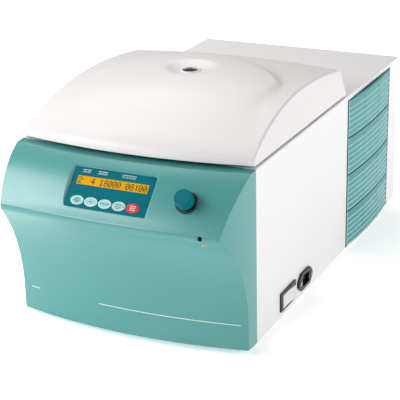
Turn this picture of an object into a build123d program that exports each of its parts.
"""Refrigerated bench microlitre centrifuge, modelled as separate named pieces.

Units are millimetres. X runs to the right seen from the front, Y to the rear, Z up.
The origin is the centre of the footprint at the height of the rubber feet.
"""
from math import asin, cos, pi, radians, sin, sqrt
import os

from build123d import *

os.makedirs("parts", exist_ok=True)

# ---------------------------------------------------------------- cabinet
HALF = 165.0            # half width of the sheet cabinet
CAB_FRONT = -238.0      # front edge of the sheet wrap
CAB_REAR = 322.0        # rear edge of the sheet wrap
REAR = 325.0            # rear face of the rear cover
FLOOR = 8.0             # underside of the cabinet, height of the rubber feet
TOP = 241.0             # cabinet deck
SHEET = 1.5             # steel sheet
IN_X = HALF - SHEET     # inner face of the side sheet

# ---------------------------------------------------------------- front moulding
SKIN = 3.0              # wall of the plastic mouldings
LIP_Z = 239.5           # front end of the flat lip
LIP_Y = -252.5          # the same at the half width
LIP_BOW = 16.5          # how far the middle stands ahead of the ends
SLOPE_RISE = 6.5        # bulge of the console face over its chord
NOSE_Z = 179.7          # lower end of the console face
NOSE_Y = -316.6
NOSE_BOW = 6.99
NOSE_R = 8.0
COVE_R = 173.0          # hollow curve below the nose
COVE_Z = 45.0
COVE_Y = -262.0
FOOT_BOW = 19.0
CHEEK_R = 255.0         # plan curve of the side cheeks

# ---------------------------------------------------------------- console
CONSOLE_TILT = 45.0     # the keypad plane leans back by this much
PAD_AT = (-3.0, -299.15, 209.85)
PAD_W, PAD_H = 112.7, 54.4
PAD_T = 0.8
LCD_W, LCD_H, LCD_UP = 99.0, 11.8, 9.8
KEY_W, KEY_H, KEY_PITCH = 18.3, 12.4, 19.4
KEY_ROW = -17.5         # key row below the middle of the foil
KEY_FIRST = -39.8
KNOB_AT = (101.8, -300.4, 211.3)
KNOB_R, KNOB_LONG = 11.4, 13.0
RELEASE_X, RELEASE_Z = 128.0, 176.0

# ---------------------------------------------------------------- chamber and rotor
AXIS_Y = -76.0          # the rotor axis stands at x = 0
BOWL_R = 112.0
BOWL_FLOOR = 99.5
ROTOR_R = 100.0
ROTOR_BASE = 126.0
ROTOR_TOP = 194.0
TUBE_D = 29.5
PLACES = 6
SHAFT_R = 6.0

# ---------------------------------------------------------------- lid
LID_Z = 245.5           # lower edge of the lid
LID_REAR = 84.5
LID_FRONT = -241.0      # front edge at the half width
LID_BOW = 17.5
LID_CROWN = 7.0         # crown across the width
DRAFT = 9.0
DOME_HALF = 129.0
DOME_R = 149.0
DOME_Y = -147.0
DOME_SPAN = 140.0       # here the dome has dived into the skin
EYE_Y = -75.0           # sight glass
EYE_R = 11.0
EYE_Z = 305.0
DISH_R = 32.0
HINGE_Y, HINGE_Z = 79.0, 252.0
HINGE_X = 110.0
PIN_R = 2.5

# ---------------------------------------------------------------- grilles
GRILLE_Y = 186.0
GRILLE_HALF = 94.0
GRILLE_SAG = 5.0
GRILLE_OUT = 171.3      # outermost face
GRILLE_BASE = 8.5
GRILLE_PITCH = 56.5
GRILLE_TALL = 56.0
SLATS = 7
SLAT = 7.4


def save(part, name):
    """Write one piece as a STEP file."""
    export_step(part, "parts/" + name + ".step")


def turned(points, close=True):
    """A closed polygon for a turned section."""
    Polyline(*points, close=close)


# ================================================================ base and cabinet
with BuildPart() as base_plate:
    with Locations((0, (CAB_FRONT + CAB_REAR) / 2, FLOOR)):
        Box(2 * IN_X, CAB_REAR - CAB_FRONT - 4, 2, align=(Align.CENTER, Align.CENTER, Align.MIN))
    for side in (-1, 1):
        with Locations((side * (IN_X - SHEET / 2), (CAB_FRONT + CAB_REAR) / 2, FLOOR)):
            Box(SHEET, CAB_REAR - CAB_FRONT - 4, 7, align=(Align.CENTER, Align.CENTER, Align.MIN))
    with BuildSketch(Plane.XY.offset(FLOOR)):
        with Locations((-40, 250)):
            with GridLocations(14, 0, 6, 1):
                SlotOverall(60, 5, rotation=90)
    extrude(amount=4, mode=Mode.SUBTRACT)
base_plate.part.label = "base_plate"
save(base_plate.part, "base_plate")

with BuildPart() as rubber_feet:
    with Locations((-135, -205, 0), (135, -205, 0), (-135, 290, 0), (135, 290, 0)):
        Cone(13, 15, FLOOR, align=(Align.CENTER, Align.CENTER, Align.MIN))
rubber_feet.part.label = "rubber_feet"
save(rubber_feet.part, "rubber_feet")

SWITCH_Y, SWITCH_Z, SWITCH_W, SWITCH_H = -137.0, 29.5, 52.0, 27.0
INLET_Y, INLET_Z, INLET_W, INLET_H = -77.0, 29.5, 50.0, 25.0
HOOK_X, HOOK_Y = RELEASE_X, -209.0
WINDOW_HALF = GRILLE_HALF - 6

with BuildPart() as housing_shell:
    with BuildSketch(Plane.XZ.offset(-CAB_REAR)):
        with BuildLine():
            Polyline((-HALF, FLOOR), (-HALF, TOP), (HALF, TOP), (HALF, FLOOR), close=True)
        make_face()
    extrude(amount=CAB_REAR - CAB_FRONT)
    folds = housing_shell.edges().filter_by(Axis.Y).sort_by(Axis.Z)[-2:]
    fillet(folds, radius=2.0)
    with BuildSketch(Plane.XZ.offset(-CAB_REAR - 1)):
        with Locations((0, (FLOOR + TOP - SHEET) / 2 - 5)):
            Rectangle(2 * IN_X, TOP - SHEET - FLOOR + 10)
    extrude(amount=CAB_REAR - CAB_FRONT + 2, mode=Mode.SUBTRACT)
    with Locations((0, AXIS_Y, TOP)):
        Cylinder(BOWL_R + 2, 12, mode=Mode.SUBTRACT)
    with Locations((HOOK_X + 5, HOOK_Y, TOP)):
        Box(28, 16, 10, mode=Mode.SUBTRACT)
    for side in (-1, 1):
        with Locations((side * HALF, GRILLE_Y, GRILLE_BASE + 2 * GRILLE_PITCH)):
            Box(10, 2 * WINDOW_HALF, 4 * GRILLE_PITCH - 12, mode=Mode.SUBTRACT)
    with Locations((HALF, SWITCH_Y, SWITCH_Z)):
        Box(10, SWITCH_W - 4, SWITCH_H - 4, mode=Mode.SUBTRACT)
    with Locations((HALF, INLET_Y, INLET_Z)):
        Box(10, 29, 21, mode=Mode.SUBTRACT)
    for end in (-20, 20):
        with Locations(Location((HALF, INLET_Y + end, INLET_Z), (0, 90, 0))):
            Cylinder(1.75, 10, mode=Mode.SUBTRACT)
housing_shell.part.label = "housing_shell"
save(housing_shell.part, "housing_shell")


# ================================================================ front moulding
def bow(z):
    """How far the middle of the front stands ahead of the half width at height z."""
    if z >= NOSE_Z:
        return NOSE_BOW + (LIP_BOW - NOSE_BOW) * (z - NOSE_Z) / (LIP_Z - NOSE_Z)
    return NOSE_BOW + (FOOT_BOW - NOSE_BOW) * (NOSE_Z - z) / (NOSE_Z - FLOOR)


def front_outline(across, inset):
    """The side outline of the moulding at one place across the width, drawn in Y and Z."""
    def at(y, z, ny, nz):
        ahead = bow(z) * (1 - (across / HALF) ** 2)
        return (y - ahead - inset * ny, z - inset * nz)

    mid_y = (LIP_Y + NOSE_Y) / 2
    mid_z = (LIP_Z + NOSE_Z) / 2
    chord = sqrt((LIP_Y - NOSE_Y) ** 2 + (LIP_Z - NOSE_Z) ** 2)
    out_y = -(LIP_Z - NOSE_Z) / chord
    out_z = (LIP_Y - NOSE_Y) / chord
    nose_cy = NOSE_Y + NOSE_R * cos(radians(30))
    nose_cz = NOSE_Z - NOSE_R * sin(radians(30))
    sweep = radians(46.2)
    back = -230.0 - inset
    lip_rear = (back + 2 * inset + 1, TOP - 0.3 - inset)
    lip = at(LIP_Y, LIP_Z, -0.3, 0.95)
    slope = at(mid_y + SLOPE_RISE * out_y, mid_z + SLOPE_RISE * out_z, out_y, out_z)
    brow = at(NOSE_Y, NOSE_Z, -cos(radians(30)), sin(radians(30)))
    tip = at(nose_cy - NOSE_R, nose_cz - 1.0, -1, 0)
    under = at(nose_cy - NOSE_R * cos(radians(45)), nose_cz - NOSE_R * sin(radians(45)), -0.7, -0.7)
    cove = at(COVE_Y - COVE_R * (1 - cos(sweep / 2)), COVE_Z + COVE_R * sin(sweep / 2), -0.92, -0.38)
    shin = at(COVE_Y, COVE_Z, -1, 0)
    toe = at(COVE_Y, FLOOR, -1, -1)
    heel = (lip_rear[0], FLOOR + inset)
    Line(lip_rear, lip)
    ThreePointArc(lip, slope, brow)
    ThreePointArc(brow, tip, under)
    ThreePointArc(under, cove, shin)
    Line(shin, toe)
    Line(toe, heel)
    Line(heel, lip_rear)


def cheek_x(y, inset):
    """Half width of the moulding at one depth."""
    ahead = CAB_FRONT - y
    return HALF - inset - ahead * ahead / (2 * CHEEK_R)


def plan_outline(inset, rear):
    """Plan of the moulding with its curved cheeks."""
    far = -345.0
    mid = (CAB_FRONT + far) / 2
    Line((-HALF + inset, rear), (HALF - inset, rear))
    if rear > CAB_FRONT:
        Line((HALF - inset, rear), (HALF - inset, CAB_FRONT))
        Line((-HALF + inset, CAB_FRONT), (-HALF + inset, rear))
    ThreePointArc((HALF - inset, CAB_FRONT), (cheek_x(mid, inset), mid), (cheek_x(far, inset), far))
    Line((cheek_x(far, inset), far), (-cheek_x(far, inset), far))
    ThreePointArc((-cheek_x(far, inset), far), (-cheek_x(mid, inset), mid), (-HALF + inset, CAB_FRONT))


def tilted(origin, lift=0.0):
    """A plane parallel to the console keypad, facing the user."""
    lean = radians(CONSOLE_TILT)
    normal = (0, -sin(lean), cos(lean))
    place = (origin[0], origin[1] + lift * normal[1], origin[2] + lift * normal[2])
    return Plane(origin=place, x_dir=(1, 0, 0), z_dir=normal)


with BuildPart() as panel_hollow:
    for across in (-HALF - 1, 0, HALF + 1):
        with BuildSketch(Plane.YZ.offset(across)):
            with BuildLine():
                front_outline(across, SKIN)
            make_face()
    loft()
    with BuildSketch(Plane.XY):
        with BuildLine():
            plan_outline(SKIN, CAB_FRONT + 20)
        make_face()
    extrude(amount=260, mode=Mode.INTERSECT)
    with BuildSketch(tilted(PAD_AT, -SKIN)):
        RectangleRounded(PAD_W + 10, PAD_H + 10, 8)
    extrude(amount=30, mode=Mode.SUBTRACT)
    with BuildSketch(tilted(KNOB_AT, -4.5)):
        Circle(18)
    extrude(amount=30, mode=Mode.SUBTRACT)

with BuildPart() as front_panel:
    for across in (-HALF - 1, 0, HALF + 1):
        with BuildSketch(Plane.YZ.offset(across)):
            with BuildLine():
                front_outline(across, 0)
            make_face()
    loft()
    with BuildSketch(Plane.XY):
        with BuildLine():
            plan_outline(0, CAB_FRONT)
        make_face()
    extrude(amount=260, mode=Mode.INTERSECT)
    add(panel_hollow.part, mode=Mode.SUBTRACT)
    # keypad recess, display window and key wells
    with BuildSketch(tilted(PAD_AT, -PAD_T)):
        RectangleRounded(PAD_W + 1.0, PAD_H + 1.0, 3)
    extrude(amount=PAD_T, mode=Mode.SUBTRACT)
    with BuildSketch(tilted(PAD_AT)):
        RectangleRounded(PAD_W + 3.0, PAD_H + 3.0, 4)
    extrude(amount=14, taper=-30, mode=Mode.SUBTRACT)
    with BuildSketch(tilted(PAD_AT, -10)):
        with Locations((0, LCD_UP)):
            Rectangle(LCD_W, LCD_H)
    extrude(amount=20, mode=Mode.SUBTRACT)
    with BuildSketch(tilted(PAD_AT, -PAD_T - 1.6)):
        for index in range(5):
            with Locations((KEY_FIRST + index * KEY_PITCH, KEY_ROW)):
                Ellipse(KEY_W / 2 + 0.2, KEY_H / 2 + 0.2)
    extrude(amount=3, mode=Mode.SUBTRACT)
    # spot face and hole for the knob, hole for the release key
    with BuildSketch(tilted(KNOB_AT, -1.0)):
        Circle(14.2)
    extrude(amount=20, mode=Mode.SUBTRACT)
    with BuildSketch(tilted(KNOB_AT, -10)):
        Circle(4.0)
    extrude(amount=20, mode=Mode.SUBTRACT)
    with Locations(Location((RELEASE_X, -310, RELEASE_Z), (90, 0, 0))):
        Cylinder(3.0, 40, mode=Mode.SUBTRACT)
front_panel.part.label = "front_panel"
save(front_panel.part, "front_panel")

with BuildPart() as rear_panel:
    with Locations((0, CAB_REAR, 10)):
        Box(2 * IN_X, SHEET, TOP - SHEET - 10, align=(Align.CENTER, Align.MAX, Align.MIN))
    with BuildSketch(Plane.XZ.offset(-REAR)):
        with Locations((0, (12 + 215) / 2)):
            RectangleRounded(2 * HALF - 2, 203, 5)
    extrude(amount=REAR - CAB_REAR)
    with BuildSketch(Plane.XZ.offset(-REAR - 1)):
        with Locations((0, 150)):
            with GridLocations(78, 12, 3, 6):
                SlotOverall(62, 4.6)
    extrude(amount=10, mode=Mode.SUBTRACT)
    for across in (-1, 1):
        for up in (28, 198):
            with Locations(Location((across * 150, REAR - 1.7, up), (-90, 0, 0))):
                Cylinder(3.6, 5, align=(Align.CENTER, Align.CENTER, Align.MIN), mode=Mode.SUBTRACT)
rear_panel.part.label = "rear_panel"
save(rear_panel.part, "rear_panel")


# ================================================================ side grilles
def grille_section(low, tall, flange):
    """Upright section of one grille module, stepped like weatherboard."""
    inner = GRILLE_OUT - 3.4
    margin = (tall - SLATS * SLAT) / 2
    points = [(HALF - 4, low), (GRILLE_OUT - 0.6, low), (GRILLE_OUT - 1.8, low + margin)]
    for index in range(SLATS):
        foot = low + margin + index * SLAT
        points.append((GRILLE_OUT, foot + SLAT - 1.2))
        points.append((GRILLE_OUT - 0.5, foot + SLAT - 0.4))
        points.append((GRILLE_OUT - 1.8, foot + SLAT))
    points.append((GRILLE_OUT - 0.4, low + tall))
    points.append((HALF - 4, low + tall))
    points.append((HALF - 4, low + tall - flange))
    points.append((inner, low + tall - flange))
    points.append((inner, low + flange))
    points.append((HALF - 4, low + flange))
    return points


def make_grille(low):
    """One grille module on the right-hand side, curved outward in plan."""
    sweep = GRILLE_HALF * GRILLE_HALF / (2 * GRILLE_SAG) + GRILLE_SAG / 2
    half_angle = asin(GRILLE_HALF / sweep) * 180 / pi
    pivot = GRILLE_OUT - sweep
    with BuildPart() as module:
        with BuildSketch(Plane.XZ.offset(-GRILLE_Y)):
            with BuildLine():
                turned(grille_section(low, GRILLE_TALL, 1.4))
            make_face()
        spin = Axis((pivot, GRILLE_Y, 0), (0, 0, 1))
        revolve(axis=spin, revolution_arc=half_angle)
        with BuildSketch(Plane.XZ.offset(-GRILLE_Y)):
            with BuildLine():
                turned(grille_section(low, GRILLE_TALL, 1.4))
            make_face()
        revolve(axis=Axis((pivot, GRILLE_Y, 0), (0, 0, -1)), revolution_arc=half_angle)
        # air slits in three runs over each step
        margin = (GRILLE_TALL - SLATS * SLAT) / 2
        with BuildSketch(Plane.YZ.offset(HALF)):
            for index in range(SLATS - 1):
                with Locations((GRILLE_Y, low + margin + (index + 1) * SLAT + 0.9)):
                    with GridLocations(56, 0, 3, 1):
                        Rectangle(52, 1.8)
        extrude(amount=12, mode=Mode.SUBTRACT)
        for end in (-1, 1):
            with Locations((GRILLE_OUT, GRILLE_Y + end * (GRILLE_HALF - 3), low)):
                with Locations([(0, 0, margin + (index + 0.5) * SLAT) for index in range(SLATS)]):
                    Cylinder(0.9, 9, rotation=(0, 90, 0), mode=Mode.SUBTRACT)
        # everything behind the cabinet face goes
        with Locations((HALF, GRILLE_Y, low)):
            Box(30, 300, 200, align=(Align.MAX, Align.CENTER, Align.CENTER), mode=Mode.SUBTRACT)
        with Locations((HALF, GRILLE_Y - GRILLE_HALF, low)):
            Box(40, 60, 200, align=(Align.CENTER, Align.MAX, Align.CENTER), mode=Mode.SUBTRACT)
        with Locations((HALF, GRILLE_Y + GRILLE_HALF, low)):
            Box(40, 60, 200, align=(Align.CENTER, Align.MIN, Align.CENTER), mode=Mode.SUBTRACT)
    return module.part


with BuildPart() as right_grille:
    for number in range(4):
        add(make_grille(GRILLE_BASE + number * GRILLE_PITCH))
right_grille.part.label = "right_grille"
save(right_grille.part, "right_grille")

with BuildPart() as left_grille:
    add(mirror(right_grille.part, about=Plane.YZ))
left_grille.part.label = "left_grille"
save(left_grille.part, "left_grille")


# ================================================================ console fittings
with BuildPart() as keypad_foil:
    with BuildSketch(tilted(PAD_AT, -PAD_T)):
        RectangleRounded(PAD_W, PAD_H, 2.5)
        with Locations((0, LCD_UP)):
            Rectangle(LCD_W, LCD_H, mode=Mode.SUBTRACT)
        for index in range(5):
            with Locations((KEY_FIRST + index * KEY_PITCH, KEY_ROW)):
                Ellipse(KEY_W / 2 + 0.1, KEY_H / 2 + 0.1, mode=Mode.SUBTRACT)
    extrude(amount=PAD_T)
keypad_foil.part.label = "keypad_foil"
save(keypad_foil.part, "keypad_foil")

with BuildPart() as display_window:
    with BuildSketch(tilted(PAD_AT, -2.2)):
        with Locations((0, LCD_UP)):
            Rectangle(LCD_W, LCD_H)
    extrude(amount=2.0)
display_window.part.label = "display_window"
save(display_window.part, "display_window")

for index in range(5):
    with BuildPart() as key:
        with BuildSketch(tilted(PAD_AT, -PAD_T - 1.0)):
            with Locations((KEY_FIRST + index * KEY_PITCH, KEY_ROW)):
                Ellipse(KEY_W / 2, KEY_H / 2)
        extrude(amount=PAD_T + 1.5)
        fillet(key.faces().sort_by(Axis((0, 0, 0), (0, -1, 1)))[-1].edges(), radius=0.3)
    key.part.label = "key_" + str(index + 1)
    save(key.part, key.part.label)

with BuildPart() as display_module:
    with BuildSketch(tilted(PAD_AT, -SKIN - 7)):
        with Locations((0, 6)):
            Rectangle(102, 30)
    extrude(amount=7)
    with BuildSketch(tilted(PAD_AT, -SKIN)):
        with Locations((0, LCD_UP)):
            Rectangle(LCD_W - 0.4, LCD_H - 0.4)
    extrude(amount=0.8)
display_module.part.label = "display_module"
save(display_module.part, "display_module")

with BuildPart() as control_board:
    with BuildSketch(tilted(PAD_AT, -SKIN - 14)):
        with Locations((0, 5)):
            Rectangle(118, 46)
    extrude(amount=1.6)
    for corner_x in (-55, 55):
        for corner_y in (-13, 24):
            with BuildSketch(tilted(PAD_AT, -SKIN - 12.4)):
                with Locations((corner_x, corner_y)):
                    Circle(3)
            extrude(amount=12.4)
    with BuildSketch(tilted(PAD_AT, -SKIN - 17)):
        with Locations((-25, 8)):
            Rectangle(24, 24)
        with Locations((20, 10)):
            Rectangle(14, 20)
    extrude(amount=3)
control_board.part.label = "control_board"
save(control_board.part, "control_board")

with BuildPart() as knob_ring:
    with BuildSketch(tilted(KNOB_AT, -1.0)):
        Circle(14.2)
        Circle(4.0, mode=Mode.SUBTRACT)
    extrude(amount=2.6)
    chamfer(knob_ring.faces().sort_by(Axis((0, 0, 0), (0, -1, 1)))[-1].edges().sort_by(SortBy.LENGTH)[-1:], length=0.8)
knob_ring.part.label = "knob_ring"
save(knob_ring.part, "knob_ring")

with BuildPart() as encoder_body:
    with BuildSketch(tilted(KNOB_AT, -13.5)):
        Rectangle(13, 13)
    extrude(amount=6)
    with BuildSketch(tilted(KNOB_AT, -7.5)):
        Circle(4.0)
    extrude(amount=8.0)
    with BuildSketch(tilted(KNOB_AT, -12)):
        Circle(2.05)
    extrude(amount=30, mode=Mode.SUBTRACT)
encoder_body.part.label = "encoder_body"
save(encoder_body.part, "encoder_body")

with BuildPart() as knob:
    with BuildSketch(tilted(KNOB_AT, 2.1)):
        Circle(KNOB_R)
    extrude(amount=KNOB_LONG)
    fillet(knob.edges().sort_by(Axis((0, 0, 0), (0, -1, 1)))[-1:], radius=1.6)
    with BuildSketch(tilted(KNOB_AT, -11.5)):
        Circle(2.0)
    extrude(amount=14)
knob.part.label = "knob"
save(knob.part, "knob")


# ================================================================ mains switch and inlet
def side_rect(y, z, width, height, radius=0.0):
    """A rectangle on the right side, y along its width."""
    with Locations((y, z)):
        if radius > 0:
            RectangleRounded(width, height, radius)
        else:
            Rectangle(width, height)


with BuildPart() as switch_frame:
    with BuildSketch(Plane.YZ.offset(HALF)):
        side_rect(SWITCH_Y, SWITCH_Z, SWITCH_W, SWITCH_H, 1.5)
    extrude(amount=2.2)
    with BuildSketch(Plane.YZ.offset(HALF)):
        side_rect(SWITCH_Y, SWITCH_Z, SWITCH_W - 4, SWITCH_H - 4)
    extrude(amount=-24)
    with BuildSketch(Plane.YZ.offset(HALF + 3)):
        side_rect(SWITCH_Y, SWITCH_Z, SWITCH_W - 10, SWITCH_H - 8)
    extrude(amount=-19, mode=Mode.SUBTRACT)
    with Locations(Location((HALF - 6, SWITCH_Y, SWITCH_Z))):
        Cylinder(1.55, SWITCH_H - 5, mode=Mode.SUBTRACT)
switch_frame.part.label = "switch_frame"
save(switch_frame.part, "switch_frame")

with BuildPart() as switch_rocker:
    with BuildSketch(Plane.XY.offset(SWITCH_Z - SWITCH_H / 2 + 4.4)):
        with BuildLine():
            Line((HALF - 11, SWITCH_Y - 10), (HALF + 1.2, SWITCH_Y - 20.2))
            Line((HALF + 1.2, SWITCH_Y - 20.2), (HALF + 3.4, SWITCH_Y - 19.8))
            ThreePointArc((HALF + 3.4, SWITCH_Y - 19.8), (HALF + 3.4, SWITCH_Y - 2), (HALF + 6.2, SWITCH_Y + 17.4))
            Line((HALF + 6.2, SWITCH_Y + 17.4), (HALF + 1.0, SWITCH_Y + 18.6))
            Line((HALF + 1.0, SWITCH_Y + 18.6), (HALF - 11, SWITCH_Y + 10))
            Line((HALF - 11, SWITCH_Y + 10), (HALF - 11, SWITCH_Y - 10))
        make_face()
    extrude(amount=SWITCH_H - 8.8)
    with Locations(Location((HALF - 6, SWITCH_Y, SWITCH_Z))):
        Cylinder(1.5, SWITCH_H - 5.4)
switch_rocker.part.label = "switch_rocker"
save(switch_rocker.part, "switch_rocker")

with BuildPart() as inlet_body:
    with BuildSketch(Plane.YZ.offset(HALF)):
        with BuildLine():
            ear = INLET_W / 2
            Polyline(
                (INLET_Y - ear, INLET_Z - 4), (INLET_Y - ear, INLET_Z + 4),
                (INLET_Y - 15, INLET_Z + INLET_H / 2), (INLET_Y + 15, INLET_Z + INLET_H / 2),
                (INLET_Y + ear, INLET_Z + 4), (INLET_Y + ear, INLET_Z - 4),
                (INLET_Y + 15, INLET_Z - INLET_H / 2), (INLET_Y - 15, INLET_Z - INLET_H / 2),
                close=True,
            )
        make_face()
    extrude(amount=3.2)
    with BuildSketch(Plane.YZ.offset(HALF)):
        side_rect(INLET_Y, INLET_Z, 29, 21)
    extrude(amount=-24)
    with BuildSketch(Plane.YZ.offset(HALF + 4)):
        with BuildLine():
            Polyline(
                (INLET_Y - 12, INLET_Z - 8), (INLET_Y + 12, INLET_Z - 8), (INLET_Y + 12, INLET_Z + 4),
                (INLET_Y + 8, INLET_Z + 8), (INLET_Y - 8, INLET_Z + 8), (INLET_Y - 12, INLET_Z + 4),
                close=True,
            )
        make_face()
    extrude(amount=-22, mode=Mode.SUBTRACT)
    with BuildSketch(Plane.YZ.offset(HALF + 4)):
        with Locations((INLET_Y - 20, INLET_Z), (INLET_Y + 20, INLET_Z)):
            Circle(1.75)
    extrude(amount=-8, mode=Mode.SUBTRACT)
inlet_body.part.label = "inlet_body"
save(inlet_body.part, "inlet_body")

with BuildPart() as inlet_pins:
    for pin_y, pin_z in ((-7, -2.5), (0, 2.5), (7, -2.5)):
        with Locations((HALF - 18, INLET_Y + pin_y, INLET_Z + pin_z)):
            Box(16, 2, 4, align=(Align.MIN, Align.CENTER, Align.CENTER))
inlet_pins.part.label = "inlet_pins"
save(inlet_pins.part, "inlet_pins")

with BuildPart() as inlet_screws:
    for end in (-20, 20):
        with Locations(Location((HALF + 3.2, INLET_Y + end, INLET_Z), (0, 90, 0))):
            Cylinder(3.0, 1.4, align=(Align.CENTER, Align.CENTER, Align.MIN))
            Cylinder(1.75, 4.7, align=(Align.CENTER, Align.CENTER, Align.MAX))
        with Locations((HALF + 4.6, INLET_Y + end, INLET_Z)):
            Box(1.2, 0.8, 3.6, mode=Mode.SUBTRACT)
            Box(1.2, 3.6, 0.8, mode=Mode.SUBTRACT)
inlet_screws.part.label = "inlet_screws"
save(inlet_screws.part, "inlet_screws")


# ================================================================ chamber
def ring(inner, outer, low, high):
    """A plain ring about the rotor axis."""
    with Locations((0, AXIS_Y, low)):
        Cylinder(outer, high - low, align=(Align.CENTER, Align.CENTER, Align.MIN))
        Cylinder(inner, high - low, align=(Align.CENTER, Align.CENTER, Align.MIN), mode=Mode.SUBTRACT)


with BuildPart() as chamber_bowl:
    with BuildSketch(Plane.XZ.offset(-AXIS_Y)):
        with BuildLine():
            Line((22, BOWL_FLOOR), (BOWL_R - 14 + 1.5, BOWL_FLOOR))
            TangentArc((BOWL_R - 12.5, BOWL_FLOOR), (BOWL_R + 1.5, BOWL_FLOOR + 14), tangent=(1, 0))
            Line((BOWL_R + 1.5, BOWL_FLOOR + 14), (BOWL_R + 1.5, TOP - SHEET - 1.5))
            Line((BOWL_R + 1.5, TOP - SHEET - 1.5), (BOWL_R + 9, TOP - SHEET - 1.5))
            Line((BOWL_R + 9, TOP - SHEET - 1.5), (BOWL_R + 9, TOP - SHEET))
            Line((BOWL_R + 9, TOP - SHEET), (BOWL_R, TOP - SHEET))
            Line((BOWL_R, TOP - SHEET), (BOWL_R, BOWL_FLOOR + 14))
            TangentArc((BOWL_R, BOWL_FLOOR + 14), (BOWL_R - 12.5, BOWL_FLOOR + 1.5), tangent=(0, -1))
            Line((BOWL_R - 12.5, BOWL_FLOOR + 1.5), (22, BOWL_FLOOR + 1.5))
            Line((22, BOWL_FLOOR + 1.5), (22, BOWL_FLOOR))
        make_face()
    revolve(axis=Axis((0, AXIS_Y, 0), (0, 0, 1)))
chamber_bowl.part.label = "chamber_bowl"
save(chamber_bowl.part, "chamber_bowl")

COIL_R, COIL_TUBE = BOWL_R + 1.5 + 3.9, 3.9
with BuildPart() as evaporator_coil:
    for turn in range(10):
        with Locations((0, AXIS_Y, 118 + turn * 11.5)):
            Torus(COIL_R, COIL_TUBE)
    with Locations((0, AXIS_Y + COIL_R + 1.5, 110)):
        Cylinder(2.5, 112, align=(Align.CENTER, Align.CENTER, Align.MIN))
evaporator_coil.part.label = "evaporator_coil"
save(evaporator_coil.part, "evaporator_coil")

with BuildPart() as guard_ring:
    ring(BOWL_R + 12, BOWL_R + 18, BOWL_FLOOR, 236)
guard_ring.part.label = "guard_ring"
save(guard_ring.part, "guard_ring")

with BuildPart() as insulation:
    ring(BOWL_R + 18, BOWL_R + 36, 84, 238)
    ring(26, BOWL_R + 18, 84, BOWL_FLOOR)
insulation.part.label = "chamber_insulation"
save(insulation.part, "chamber_insulation")

with BuildPart() as chamber_collar:
    ring(BOWL_R, BOWL_R + 12, TOP, TOP + 1.5)
    ring(BOWL_R, BOWL_R + 2, TOP - SHEET, TOP)
chamber_collar.part.label = "chamber_collar"
save(chamber_collar.part, "chamber_collar")

with BuildPart() as chamber_seal:
    ring(BOWL_R + 3, BOWL_R + 9, TOP + 1.5, TOP + 4.8)
    fillet(chamber_seal.faces().sort_by(Axis.Z)[-1].edges(), radius=1.2)
chamber_seal.part.label = "chamber_seal"
save(chamber_seal.part, "chamber_seal")

with BuildPart() as chamber_posts:
    for across in (-1, 1):
        for along in (-1, 1):
            with Locations((across * 100, AXIS_Y + along * 95, FLOOR + 2)):
                Cylinder(7, 84 - FLOOR - 2, align=(Align.CENTER, Align.CENTER, Align.MIN))
chamber_posts.part.label = "chamber_posts"
save(chamber_posts.part, "chamber_posts")


# ================================================================ drive
COMP_X, COMP_Y = -70.0, 190.0
with BuildPart() as rubber_buffers:
    with Locations((0, AXIS_Y, FLOOR + 2)):
        with PolarLocations(56, 3, start_angle=90):
            Cylinder(9, 12, align=(Align.CENTER, Align.CENTER, Align.MIN))
    with Locations((COMP_X, COMP_Y, FLOOR + 2)):
        with GridLocations(104, 68, 2, 2):
            Cylinder(8, 12, align=(Align.CENTER, Align.CENTER, Align.MIN))
rubber_buffers.part.label = "rubber_buffers"
save(rubber_buffers.part, "rubber_buffers")

with BuildPart() as motor_carrier:
    with Locations((0, AXIS_Y, FLOOR + 14)):
        Cylinder(68, 4, align=(Align.CENTER, Align.CENTER, Align.MIN))
        with PolarLocations(40, 6):
            Cylinder(6, 20, mode=Mode.SUBTRACT)
motor_carrier.part.label = "motor_carrier"
save(motor_carrier.part, "motor_carrier")

with BuildPart() as motor_housing:
    with Locations((0, AXIS_Y, FLOOR + 18)):
        Cylinder(48, 52, align=(Align.CENTER, Align.CENTER, Align.MIN))
        Cylinder(22, 60, align=(Align.CENTER, Align.CENTER, Align.MIN))
        with PolarLocations(48, 24):
            Box(3, 3, 110, mode=Mode.SUBTRACT)
    with Locations((0, AXIS_Y, FLOOR + 30)):
        Cylinder(SHAFT_R + 0.05, 90, align=(Align.CENTER, Align.CENTER, Align.MIN), mode=Mode.SUBTRACT)
motor_housing.part.label = "motor_housing"
save(motor_housing.part, "motor_housing")

HUB_TOP = ROTOR_TOP - 6
with BuildPart() as motor_shaft:
    with Locations((0, AXIS_Y, FLOOR + 31)):
        Cylinder(SHAFT_R, ROTOR_BASE + 6 - FLOOR - 31, align=(Align.CENTER, Align.CENTER, Align.MIN))
    with Locations((0, AXIS_Y, ROTOR_BASE - 4)):
        Cylinder(14, 4, align=(Align.CENTER, Align.CENTER, Align.MIN))
    with Locations((0, AXIS_Y, ROTOR_BASE + 6)):
        Cone(SHAFT_R, 5, 40, align=(Align.CENTER, Align.CENTER, Align.MIN))
    with Locations((0, AXIS_Y, ROTOR_BASE + 46)):
        Cylinder(4, HUB_TOP + 8 - ROTOR_BASE - 46, align=(Align.CENTER, Align.CENTER, Align.MIN))
motor_shaft.part.label = "motor_shaft"
save(motor_shaft.part, "motor_shaft")

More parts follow.
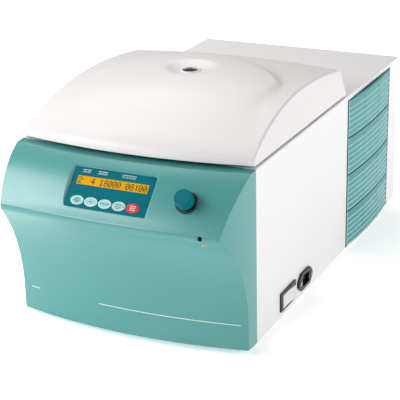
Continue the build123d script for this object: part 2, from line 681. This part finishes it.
POCKET_R = 40.0         # radius of the pocket mouths
POCKET_DEEP = 58.0
with BuildPart() as rotor:
    with BuildSketch(Plane.XZ.offset(-AXIS_Y)):
        with BuildLine():
            rim = ROTOR_R
            turned([
                (0, ROTOR_BASE), (rim - 10, ROTOR_BASE), (rim, ROTOR_BASE + 10), (rim, ROTOR_BASE + 34),
                (rim - 34, ROTOR_TOP), (16, ROTOR_TOP), (15, HUB_TOP), (0, HUB_TOP),
            ])
        make_face()
    revolve(axis=Axis((0, AXIS_Y, 0), (0, 0, 1)))
    for place in range(PLACES):
        turn = radians(place * 360 / PLACES)
        mouth = (POCKET_R * cos(turn), AXIS_Y + POCKET_R * sin(turn), ROTOR_TOP)
        inward = (-cos(turn), -sin(turn), 1)
        with BuildSketch(Plane(origin=mouth, z_dir=inward).offset(40)):
            Circle(TUBE_D / 2)
        extrude(amount=-40 - POCKET_DEEP + TUBE_D / 2, mode=Mode.SUBTRACT)
        deep = (POCKET_DEEP - TUBE_D / 2) / sqrt(2)
        low = (mouth[0] + deep * cos(turn), mouth[1] + deep * sin(turn), ROTOR_TOP - deep)
        with Locations(low):
            Sphere(TUBE_D / 2, mode=Mode.SUBTRACT)
    with Locations((0, AXIS_Y, ROTOR_BASE)):
        Cylinder(SHAFT_R, 6, align=(Align.CENTER, Align.CENTER, Align.MIN), mode=Mode.SUBTRACT)
    with Locations((0, AXIS_Y, ROTOR_BASE + 6)):
        Cone(SHAFT_R, 5, 40, align=(Align.CENTER, Align.CENTER, Align.MIN), mode=Mode.SUBTRACT)
    with Locations((0, AXIS_Y, ROTOR_BASE + 46)):
        Cylinder(4.2, 60, align=(Align.CENTER, Align.CENTER, Align.MIN), mode=Mode.SUBTRACT)
rotor.part.label = "rotor"
save(rotor.part, "rotor")

with BuildPart() as rotor_nut:
    with Locations((0, AXIS_Y, HUB_TOP)):
        Cylinder(12, 16, align=(Align.CENTER, Align.CENTER, Align.MIN))
        with PolarLocations(12.4, 18):
            Cylinder(1.0, 60, mode=Mode.SUBTRACT)
    with Locations((0, AXIS_Y, HUB_TOP)):
        Cylinder(4, 8, align=(Align.CENTER, Align.CENTER, Align.MIN), mode=Mode.SUBTRACT)
    with BuildSketch(Plane.XY.offset(HUB_TOP + 16)):
        with Locations((0, AXIS_Y)):
            RegularPolygon(3.4, 6)
    extrude(amount=-6, mode=Mode.SUBTRACT)
rotor_nut.part.label = "rotor_nut"
save(rotor_nut.part, "rotor_nut")


# ================================================================ refrigeration and power
with BuildPart() as compressor:
    with Locations((COMP_X, COMP_Y, 26)):
        Cylinder(54, 110, align=(Align.CENTER, Align.CENTER, Align.MIN))
    fillet(compressor.edges().filter_by(GeomType.CIRCLE), radius=24)
    with Locations((COMP_X, COMP_Y, 84)):
        Cylinder(55.5, 6)
    with Locations((COMP_X, COMP_Y, 22)):
        Box(120, 84, 4, align=(Align.CENTER, Align.CENTER, Align.MIN))
compressor.part.label = "compressor"
save(compressor.part, "compressor")

COND_X, COND_LOW, COND_TALL = 140.0, 24.0, 180.0
with BuildPart() as condenser_frame:
    for end in (-1, 1):
        with Locations((COND_X, GRILLE_Y + end * 80, FLOOR + 2)):
            Box(34, 1.5, COND_LOW + COND_TALL - FLOOR - 2, align=(Align.CENTER, Align.CENTER, Align.MIN))
    with Locations((COND_X, GRILLE_Y, COND_LOW - 1.5)):
        Box(34, 160, 1.5, align=(Align.CENTER, Align.CENTER, Align.MIN))
condenser_frame.part.label = "condenser_frame"
save(condenser_frame.part, "condenser_frame")

with BuildPart() as condenser_fins:
    with Locations((COND_X, GRILLE_Y, COND_LOW)):
        with GridLocations(0, 7.5, 1, 21):
            Box(30, 0.8, COND_TALL - 8, align=(Align.CENTER, Align.CENTER, Align.MIN))
    for row in (-8, 8):
        for tier in range(7):
            place = Location((COND_X + row, GRILLE_Y, COND_LOW + 14 + tier * 24), (90, 0, 0))
            with Locations(place):
                Cylinder(4.0, 158.5)
condenser_fins.part.label = "condenser_fins"
save(condenser_fins.part, "condenser_fins")

FAN_Z = 112.0
with BuildPart() as fan_shroud:
    with Locations((COND_X - 17, GRILLE_Y, COND_LOW)):
        Box(8, 158.5, COND_TALL - 2, align=(Align.MAX, Align.CENTER, Align.MIN))
    with Locations(Location((COND_X - 21, GRILLE_Y, FAN_Z), (0, 90, 0))):
        Cylinder(70, 30, mode=Mode.SUBTRACT)
    with Locations((COND_X - 24, GRILLE_Y, FAN_Z)):
        Box(2, 146, 8)
        Box(2, 8, 146)
    with Locations(Location((COND_X - 25, GRILLE_Y, FAN_Z), (0, 90, 0))):
        Cylinder(20, 24, align=(Align.CENTER, Align.CENTER, Align.MAX))
    with Locations(Location((COND_X - 50, GRILLE_Y, FAN_Z), (0, 90, 0))):
        Cylinder(2.55, 60, align=(Align.CENTER, Align.CENTER, Align.MIN), mode=Mode.SUBTRACT)
fan_shroud.part.label = "fan_shroud"
save(fan_shroud.part, "fan_shroud")

with BuildPart() as fan_impeller:
    with Locations(Location((COND_X - 22.4, GRILLE_Y, FAN_Z), (0, 90, 0))):
        Cylinder(18, 5, align=(Align.CENTER, Align.CENTER, Align.MIN))
    with Locations(Location((COND_X - 44, GRILLE_Y, FAN_Z), (0, 90, 0))):
        Cylinder(2.5, 24, align=(Align.CENTER, Align.CENTER, Align.MIN))
    for blade in range(5):
        angle = radians(blade * 72)
        root = Plane(
            origin=(COND_X - 19.9, GRILLE_Y + 15 * cos(angle), FAN_Z + 15 * sin(angle)),
            x_dir=(0.35, -sin(angle), cos(angle)),
            z_dir=(0, cos(angle), sin(angle)),
        )
        with BuildSketch(root):
            Rectangle(11, 1.4)
        with BuildSketch(root.offset(51)):
            Rectangle(13, 1.4)
        loft()
fan_impeller.part.label = "fan_impeller"
save(fan_impeller.part, "fan_impeller")

with BuildPart() as filter_drier:
    with Locations((30, 130, 0)):
        with Locations((0, 0, 60)):
            Cylinder(12, 90, align=(Align.CENTER, Align.CENTER, Align.MIN))
            fillet(filter_drier.edges().filter_by(GeomType.CIRCLE), radius=6)
        with Locations((0, 0, FLOOR + 2)):
            Cylinder(3, 56, align=(Align.CENTER, Align.CENTER, Align.MIN))
        with Locations((0, 0, 144)):
            Cylinder(3, 21, align=(Align.CENTER, Align.CENTER, Align.MIN))
filter_drier.part.label = "filter_drier"
save(filter_drier.part, "filter_drier")


def pipe(points, radius, bend):
    """A round pipe bent along a polyline."""
    with BuildLine() as run:
        FilletPolyline(*points, radius=bend)
    with BuildSketch(Plane(origin=run.line @ 0, z_dir=run.line % 0)) as end:
        Circle(radius)
    sweep(end.sketch, path=run.line)


with BuildPart() as refrigerant_pipes:
    pipe([(30, 130, 165), (30, 130, 190), (30, 95, 190), (30, 95, 150), (30, 70, 150)], 3.0, 9)
    pipe([(COMP_X, COMP_Y - 10, 136), (COMP_X, COMP_Y - 10, 190), (COMP_X, 100, 190), (COMP_X, 100, 140),
          (COMP_X, 57, 140)], 4.0, 12)
refrigerant_pipes.part.label = "refrigerant_pipes"
save(refrigerant_pipes.part, "refrigerant_pipes")

with BuildPart() as power_board:
    with Locations((-15, 316, 40)):
        Box(200, 1.6, 120, align=(Align.CENTER, Align.CENTER, Align.MIN))
    with Locations((-15, 318.65, 100)):
        with GridLocations(180, 100, 1, 1):
            Box(12, 3.7, 12)
    with Locations((-75, 304.2, 70)):
        Box(44, 22, 60, align=(Align.CENTER, Align.CENTER, Align.MIN))
    for fin in range(6):
        with Locations((-92 + fin * 7, 288, 70)):
            Box(2.2, 12, 60, align=(Align.CENTER, Align.CENTER, Align.MIN))
    with Locations((-15, 315.2, 60), (15, 315.2, 60), (45, 315.2, 60)):
        Cylinder(9, 26, rotation=(90, 0, 0), align=(Align.CENTER, Align.CENTER, Align.MIN))
power_board.part.label = "power_board"
save(power_board.part, "power_board")

with BuildPart() as rear_screws:
    for across in (-1, 1):
        for up in (28, 198):
            with Locations(Location((across * 150, REAR - 1.7, up), (-90, 0, 0))):
                Cylinder(3.5, 1.6, align=(Align.CENTER, Align.CENTER, Align.MIN))
            with Locations((across * 150, REAR - 0.1, up)):
                Box(4.4, 1.0, 0.9, mode=Mode.SUBTRACT)
                Box(0.9, 1.0, 4.4, mode=Mode.SUBTRACT)
rear_screws.part.label = "rear_screws"
save(rear_screws.part, "rear_screws")


# ================================================================ lid latch
BLOCK_F, BLOCK_R = HOOK_Y - 11, HOOK_Y + 11
with BuildPart() as latch_block:
    with Locations((HOOK_X + 4, HOOK_Y, 156)):
        Box(50, 22, 4, align=(Align.CENTER, Align.CENTER, Align.MIN))
    for face in (BLOCK_F, BLOCK_R - 4):
        with Locations((HOOK_X + 4, face, 160)):
            Box(50, 4, 32, align=(Align.CENTER, Align.MIN, Align.MIN))
    with Locations((HOOK_X - 21, HOOK_Y, 156)):
        Box(4, 22, TOP - SHEET - 156, align=(Align.MIN, Align.CENTER, Align.MIN))
    with Locations((HOOK_X - 21, HOOK_Y, TOP - SHEET - 2)):
        Box(11, 22, 2, align=(Align.MIN, Align.CENTER, Align.MIN))
    with Locations(Location((HOOK_X, HOOK_Y, RELEASE_Z), (90, 0, 0))):
        Cylinder(4.05, 60, mode=Mode.SUBTRACT)
latch_block.part.label = "latch_block"
save(latch_block.part, "latch_block")

with BuildPart() as latch_hook:
    with Locations(Location((HOOK_X, HOOK_Y, RELEASE_Z), (90, 0, 0))):
        Cylinder(4.0, 21.4)
        Cylinder(9.0, 8.0)
    with Locations((HOOK_X, HOOK_Y, RELEASE_Z)):
        Box(6, 8, 84, align=(Align.CENTER, Align.CENTER, Align.MIN))
    with Locations((HOOK_X - 3, HOOK_Y, RELEASE_Z + 79)):
        Box(14, 8, 5, align=(Align.MIN, Align.CENTER, Align.MIN))
latch_hook.part.label = "latch_hook"
save(latch_hook.part, "latch_hook")

GUIDE_FRONT = -305.0
with BuildPart() as release_guide:
    with Locations(Location((RELEASE_X, GUIDE_FRONT, RELEASE_Z), (-90, 0, 0))):
        Cylinder(5.5, BLOCK_F - GUIDE_FRONT, align=(Align.CENTER, Align.CENTER, Align.MIN))
        Cylinder(3.05, 200, mode=Mode.SUBTRACT)
release_guide.part.label = "release_guide"
save(release_guide.part, "release_guide")

with BuildPart() as release_spindle:
    with Locations(Location((RELEASE_X, GUIDE_FRONT - 4, RELEASE_Z), (-90, 0, 0))):
        Cylinder(3.0, BLOCK_F - GUIDE_FRONT + 3.9, align=(Align.CENTER, Align.CENTER, Align.MIN))
    with BuildSketch(Plane.XZ.offset(-GUIDE_FRONT + 5)):
        with Locations((RELEASE_X, RELEASE_Z)):
            RegularPolygon(1.6, 6)
    extrude(amount=-9, mode=Mode.SUBTRACT)
release_spindle.part.label = "release_spindle"
save(release_spindle.part, "release_spindle")


# ================================================================ lid
# stations along the lid as a share of its depth, with the height of the surface there
SKIN_LINE = ((0.05, 260.5), (0.20, 278.5), (0.38, 290.6), (0.57, 294.0), (0.78, 290.6), (1.02, 281.5))
DOME_LINE = ((0.05, 263.5), (0.20, 291.5), (0.38, 308.0), (0.52, 311.8), (0.70, 310.4), (1.02, 302.0))


def lid_outline(across, lower):
    """Side outline of the lid skin at one place across the width."""
    share = 1 - (across / HALF) ** 2
    edge = LID_FRONT - LID_BOW * share + lower
    spread = [(edge, LID_Z + 3)]
    reach = LID_REAR - LID_FRONT
    for along, high in SKIN_LINE:
        forward = LID_BOW * share * (1 - along) ** 6
        spread.append((LID_FRONT + along * reach - forward + lower * (1 - along) ** 4, high + LID_CROWN * share - lower))
    Line((edge, LID_Z - 8), spread[0])
    Spline(*spread, tangents=[(0.05, 1), (1, -0.12)], tangent_scalars=[1.0, 1.0])
    Line(spread[-1], (LID_REAR + 6, LID_Z - 8))
    Line((LID_REAR + 6, LID_Z - 8), (edge, LID_Z - 8))


def dome_outline(across, lower):
    """Side outline of the raised dome, which dives into the skin at its sides."""
    side = (across / DOME_SPAN) ** 2
    share = 1 - (across / HALF) ** 2
    edge = LID_FRONT - LID_BOW * share + 0.4 + lower
    reach = LID_REAR - LID_FRONT
    spread = [(edge, LID_Z + 3)]
    for (along, high), (_, skin) in zip(DOME_LINE, SKIN_LINE):
        forward = LID_BOW * share * (1 - along) ** 6 - lower * (1 - along) ** 4
        flat = skin - 0.6
        spread.append((LID_FRONT + along * reach - forward, high + (flat - high) * side - lower))
    Line((edge, LID_Z - 8), spread[0])
    Spline(*spread, tangents=[(0.05, 1), (1, -0.12)], tangent_scalars=[1.0, 1.0])
    Line(spread[-1], (LID_REAR + 6, LID_Z - 8))
    Line((LID_REAR + 6, LID_Z - 8), (edge, LID_Z - 8))


def lid_skin(lower):
    """The crowned skin of the lid, or its hollow when lowered by the wall."""
    start = LID_Z if lower == 0 else LID_Z - 5
    spread = (LID_Z - start) * sin(radians(DRAFT)) / cos(radians(DRAFT)) - lower
    with BuildPart() as skin:
        for across in (-HALF - 1, 0, HALF + 1):
            with BuildSketch(Plane.YZ.offset(across)):
                with BuildLine():
                    lid_outline(across, lower)
                make_face()
        loft()
        with BuildSketch(Plane.XY.offset(start)):
            with Locations((0, (LID_REAR + spread - 300) / 2)):
                Rectangle(2 * (HALF + spread), LID_REAR + spread + 300)
        extrude(amount=90, taper=DRAFT, mode=Mode.INTERSECT)
    return skin.part


def lid_dome(lower):
    """The raised dome over the rotor, stepped at the rear and merging at the front."""
    start = LID_Z if lower == 0 else LID_Z - 5
    grow = (306.0 - start) * sin(radians(30)) / cos(radians(30)) - lower
    with BuildPart() as dome:
        for across in (-DOME_SPAN, 0, DOME_SPAN):
            with BuildSketch(Plane.YZ.offset(across)):
                with BuildLine():
                    dome_outline(across, lower)
                make_face()
        loft()
        with BuildSketch(Plane.XY.offset(start)) as plan:
            with Locations((0, DOME_Y)):
                Circle(DOME_R + grow)
                Rectangle(2 * (DOME_HALF + grow), 900, mode=Mode.INTERSECT)
            fillet(plan.vertices().group_by(Axis.Y)[-1], radius=40 + grow)
        extrude(amount=90, taper=30, mode=Mode.INTERSECT)
    return dome.part


def slab(low, high):
    """A wide flat block between two heights."""
    with Locations((0, 0, low)):
        Box(500, 700, high - low, align=(Align.CENTER, Align.CENTER, Align.MIN), mode=Mode.INTERSECT)


def latch_slot(low, high):
    """Room for the hook in the underside of the lid."""
    with Locations((HOOK_X + 5, HOOK_Y, low)):
        Box(28, 18, high - low, align=(Align.CENTER, Align.CENTER, Align.MIN), mode=Mode.SUBTRACT)


BOSS_Z = 296.0
with BuildPart() as lid_hollow:
    add(lid_skin(SKIN))
    add(lid_dome(SKIN))
    with Locations((0, EYE_Y, BOSS_Z)):
        Cylinder(DISH_R + 5, 40, align=(Align.CENTER, Align.CENTER, Align.MIN), mode=Mode.SUBTRACT)

with BuildPart() as lid_shell:
    add(lid_skin(0))
    add(lid_dome(0))
    add(lid_hollow.part, mode=Mode.SUBTRACT)
    with BuildSketch(Plane.XZ.offset(-EYE_Y)):
        with BuildLine():
            Line((13.5, EYE_Z), (13.5, EYE_Z + 20))
            Line((13.5, EYE_Z + 20), (DISH_R + 3, EYE_Z + 20))
            Line((DISH_R + 3, EYE_Z + 20), (DISH_R + 3, EYE_Z + 8))
            ThreePointArc((DISH_R + 3, EYE_Z + 8), (25, EYE_Z + 2.4), (13.5, EYE_Z))
        make_face()
    revolve(axis=Axis((0, EYE_Y, 0), (0, 0, 1)), mode=Mode.SUBTRACT)
    with Locations((0, EYE_Y, EYE_Z + 1.3)):
        Cylinder(13.5, 40, align=(Align.CENTER, Align.CENTER, Align.MIN), mode=Mode.SUBTRACT)
    with Locations((0, EYE_Y, BOSS_Z - 10)):
        Cylinder(EYE_R, 60, align=(Align.CENTER, Align.CENTER, Align.MIN), mode=Mode.SUBTRACT)
    for side in (-1, 1):
        with Locations((side * HINGE_X, LID_REAR, LID_Z - 5)):
            Box(32, 14, 18.5, align=(Align.CENTER, Align.CENTER, Align.MIN), mode=Mode.SUBTRACT)
lid_shell.part.label = "lid_shell"
save(lid_shell.part, "lid_shell")

LINER_Z = LID_Z + 2.0
with BuildPart() as lid_liner:
    add(lid_hollow.part)
    slab(LINER_Z, LINER_Z + 2)
    with Locations((0, EYE_Y, LINER_Z)):
        Cylinder(13.8, 20, mode=Mode.SUBTRACT)
    for side in (-1, 1):
        with Locations((side * HINGE_X, LID_REAR, LINER_Z)):
            Box(34, 32, 20, mode=Mode.SUBTRACT)
    latch_slot(LINER_Z - 5, LINER_Z + 10)
lid_liner.part.label = "lid_liner"
save(lid_liner.part, "lid_liner")

with BuildPart() as lid_pan:
    ring(BOWL_R - 92, BOWL_R + 14, LINER_Z - 1.2, LINER_Z)
    with Locations((0, EYE_Y, LINER_Z)):
        Cylinder(13.8, 20, mode=Mode.SUBTRACT)
lid_pan.part.label = "lid_pan"
save(lid_pan.part, "lid_pan")

with BuildPart() as lid_screws:
    with Locations((0, AXIS_Y, LINER_Z - 1.2)):
        with PolarLocations(100, 6, start_angle=30):
            Cylinder(3.5, 1.6, align=(Align.CENTER, Align.CENTER, Align.MAX))
lid_screws.part.label = "lid_screws"
save(lid_screws.part, "lid_screws")

with BuildPart() as sight_tube:
    with Locations((0, EYE_Y, LINER_Z - 1.2)):
        Cylinder(13.8, BOSS_Z - LINER_Z + 1.2, align=(Align.CENTER, Align.CENTER, Align.MIN))
        Cylinder(EYE_R + 0.5, 60, align=(Align.CENTER, Align.CENTER, Align.MIN), mode=Mode.SUBTRACT)
sight_tube.part.label = "sight_tube"
save(sight_tube.part, "sight_tube")

with BuildPart() as sight_glass:
    with Locations((0, EYE_Y, EYE_Z - 2)):
        Cylinder(EYE_R, 2, align=(Align.CENTER, Align.CENTER, Align.MIN))
    with Locations((0, EYE_Y, LINER_Z)):
        Cylinder(EYE_R + 0.5, 2, align=(Align.CENTER, Align.CENTER, Align.MIN))
sight_glass.part.label = "sight_glass"
save(sight_glass.part, "sight_glass")

with BuildPart() as lid_striker:
    with Locations((HOOK_X + 6, HOOK_Y, LINER_Z + 2)):
        Box(44, 30, 2, align=(Align.CENTER, Align.CENTER, Align.MIN))
    latch_slot(LINER_Z, LINER_Z + 10)
lid_striker.part.label = "lid_striker"
save(lid_striker.part, "lid_striker")


def across_cylinder(x, length, radius, mode=Mode.ADD):
    """A cylinder along X on the hinge line, centred on one place."""
    with Locations(Location((x, HINGE_Y, HINGE_Z), (0, 90, 0))):
        Cylinder(radius, length, mode=mode)


with BuildPart() as hinge_leaves:
    for side in (-1, 1):
        with Locations((side * HINGE_X, 63, LINER_Z + 2)):
            Box(28, 30, 2, align=(Align.CENTER, Align.CENTER, Align.MIN))
        with Locations((side * HINGE_X, HINGE_Y, LINER_Z)):
            Box(12.6, 14, 20, mode=Mode.SUBTRACT)
        for end in (-1, 1):
            across_cylinder(side * HINGE_X + end * 10.15, 7.7, 4.6)
        across_cylinder(side * HINGE_X, 40, PIN_R + 0.05, Mode.SUBTRACT)
hinge_leaves.part.label = "hinge_leaves"
save(hinge_leaves.part, "hinge_leaves")

with BuildPart() as hinge_brackets:
    for side in (-1, 1):
        across_cylinder(side * HINGE_X, 12, 5.0)
        with Locations((side * HINGE_X, HINGE_Y, TOP)):
            Box(12, 8, HINGE_Z - TOP, align=(Align.CENTER, Align.CENTER, Align.MIN))
            Box(24, 30, 2, align=(Align.CENTER, Align.CENTER, Align.MIN))
        across_cylinder(side * HINGE_X, 40, PIN_R, Mode.SUBTRACT)
hinge_brackets.part.label = "hinge_brackets"
save(hinge_brackets.part, "hinge_brackets")

with BuildPart() as hinge_pins:
    for side in (-1, 1):
        across_cylinder(side * HINGE_X, 28, PIN_R)
hinge_pins.part.label = "hinge_pins"
save(hinge_pins.part, "hinge_pins")
